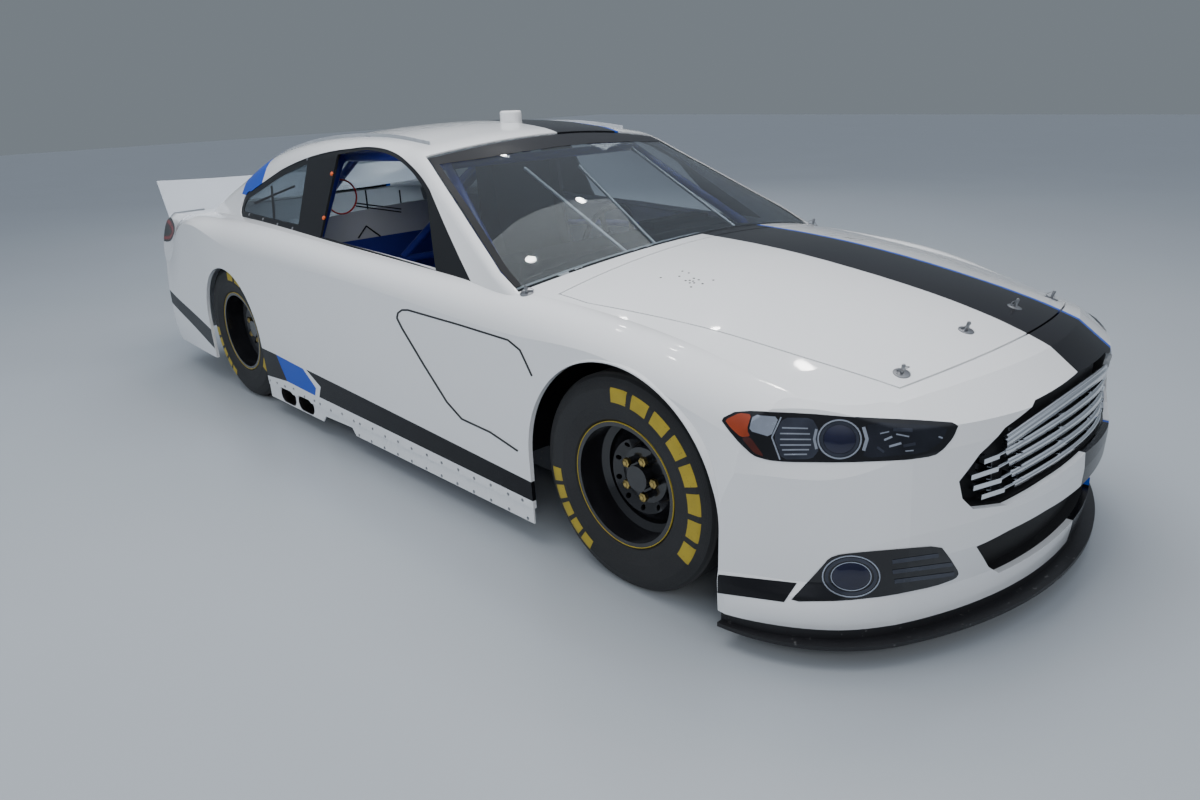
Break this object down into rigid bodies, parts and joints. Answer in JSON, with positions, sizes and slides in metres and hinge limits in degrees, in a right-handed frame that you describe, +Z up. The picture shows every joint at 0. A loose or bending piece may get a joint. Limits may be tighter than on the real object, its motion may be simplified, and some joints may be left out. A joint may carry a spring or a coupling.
{
  "type": "stock car",
  "caption": "White stock racing car with steel frame, roll cage, hinged hood and deck lid, steered front wheels, spoiler and splitter.",
  "frame": {"origin": "centre of the bounding box in plan, on the ground", "axes": "+X forward, +Y to the driver's left, +Z up"},
  "size_m": [4.9637, 1.9568, 1.4159],
  "materials": {
    "body_paint": "white gloss enamel",
    "black_trim": "black gloss",
    "clear_glass": "clear sheet",
    "bright_bar": "polished",
    "black_plastic": "matte black",
    "tyre_rubber": "slick rubber",
    "wheel_steel": "black enamel on steel",
    "bare_steel": "bare steel",
    "cage_paint": "blue enamel",
    "frame_paint": "dark grey enamel",
    "seat_fabric": "black padding",
    "cast": "cast",
    "aluminium_sheet": "sheet"
  },
  "bodies": {
    "body": {"nose": "body_paint", "cowl": "body_paint", "rear_deck": "body_paint", "tail": "body_paint", "roof": "body_paint", "fender_left": "body_paint", "fender_right": "body_paint", "door_left": "body_paint", "door_right": "body_paint", "quarter_left": "body_paint", "quarter_right": "body_paint", "skirt_left": "body_paint", "skirt_right": "body_paint", "windshield": "clear_glass", "rear_window": "clear_glass", "quarter_window_left": "clear_glass", "quarter_window_right": "clear_glass", "window_trim_left": "black_trim", "window_trim_right": "black_trim", "splitter": "black_plastic", "grille_backing": "black_plastic", "grille_bars": "bright_bar", "dash": "black_plastic", "seat": "seat_fabric", "chassis": "frame_paint", "floor": "cage_paint", "cage_hoop": "cage_paint", "cage_roof": "cage_paint", "cage_front": "cage_paint", "cage_doors": "cage_paint", "engine": "cast", "radiator": "aluminium_sheet", "driveline": "bare_steel", "rear_axle": "frame_paint", "exhaust": "bare_steel", "fuel_cell": "frame_paint", "front_suspension_left": "bare_steel", "front_suspension_right": "bare_steel"},
    "hood": {"hood": "body_paint"},
    "decklid": {"decklid": "body_paint", "spoiler": "body_paint"},
    "steering_wheel": {"steering_wheel": "black_plastic"},
    "knuckle_left": {"knuckle_left": "bare_steel"},
    "knuckle_right": {"knuckle_right": "bare_steel"},
    "wheel_front_left": {"tyre_front_left": "tyre_rubber", "wheel_front_left": "wheel_steel"},
    "wheel_front_right": {"tyre_front_right": "tyre_rubber", "wheel_front_right": "wheel_steel"},
    "wheel_rear_left": {"tyre_rear_left": "tyre_rubber", "wheel_rear_left": "wheel_steel"},
    "wheel_rear_right": {"tyre_rear_right": "tyre_rubber", "wheel_rear_right": "wheel_steel"}
  },
  "joints": [
    {"name": "steer_left", "type": "hinge", "parent": "body", "child": "knuckle_left", "pos_m": [1.465, 0.725, 0.356], "axis": [0, 0, 1], "range_deg": [-20, 20]},
    {"name": "steer_right", "type": "hinge", "parent": "body", "child": "knuckle_right", "pos_m": [1.465, -0.725, 0.356], "axis": [0, 0, 1], "range_deg": [-20, 20]},
    {"name": "spin_front_left", "type": "hinge", "parent": "knuckle_left", "child": "wheel_front_left", "pos_m": [1.465, 0.795, 0.356], "axis": [0, 1, 0], "continuous": true},
    {"name": "spin_front_right", "type": "hinge", "parent": "knuckle_right", "child": "wheel_front_right", "pos_m": [1.465, -0.795, 0.356], "axis": [0, 1, 0], "continuous": true},
    {"name": "spin_rear_left", "type": "hinge", "parent": "body", "child": "wheel_rear_left", "pos_m": [-1.329, 0.795, 0.356], "axis": [0, 1, 0], "continuous": true},
    {"name": "spin_rear_right", "type": "hinge", "parent": "body", "child": "wheel_rear_right", "pos_m": [-1.329, -0.795, 0.356], "axis": [0, 1, 0], "continuous": true},
    {"name": "steering_wheel_turn", "type": "hinge", "parent": "body", "child": "steering_wheel", "pos_m": [0.085, 0.405, 0.79], "axis": [-0.9703, 0, 0.2419], "range_deg": [-240, 240]},
    {"name": "hood_open", "type": "hinge", "parent": "body", "child": "hood", "pos_m": [1.073, 0, 0.975], "axis": [0, -1, 0], "range_deg": [0, 50]},
    {"name": "decklid_open", "type": "hinge", "parent": "body", "child": "decklid", "pos_m": [-1.996, 0, 0.95], "axis": [0, 1, 0], "range_deg": [0, 50]}
  ],
  "couplings": [
    {"joint": "steer_left", "follows": "steer_right", "ratio": 1},
    {"joint": "steering_wheel_turn", "follows": "steer_right", "ratio": 12}
  ]
}
